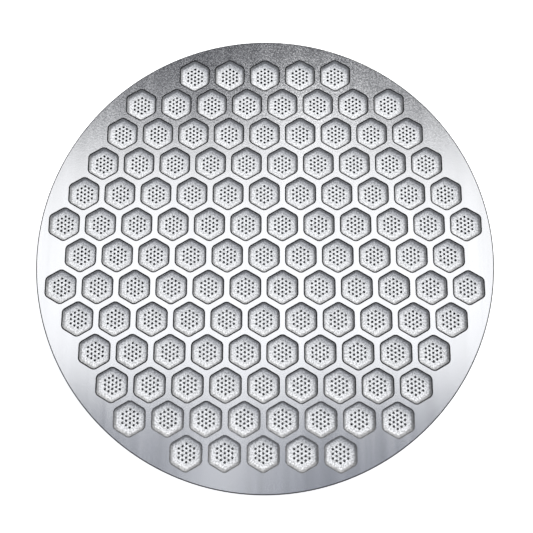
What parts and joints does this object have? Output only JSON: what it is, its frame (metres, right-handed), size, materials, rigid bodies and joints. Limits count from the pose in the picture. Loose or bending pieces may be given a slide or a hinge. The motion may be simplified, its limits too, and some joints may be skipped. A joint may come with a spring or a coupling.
{
  "type": "espresso puck screen",
  "caption": "Thin round stainless steel screen with a honeycomb of etched hexagonal pockets, finely perforated, that lies on the puck of ground coffee in a filter basket.",
  "frame": {"origin": "centre of the flat underside that rests on the coffee", "axes": "+Z through the thickness, from the flat underside to the pocketed face; the rows of pockets run along X"},
  "size_m": [0.0584, 0.0584, 0.0008],
  "materials": {
    "etched_steel": "fine-grained satin plate with matt etched pockets"
  },
  "bodies": {
    "root": {"puck_screen": "etched_steel"}
  },
  "joints": []
}
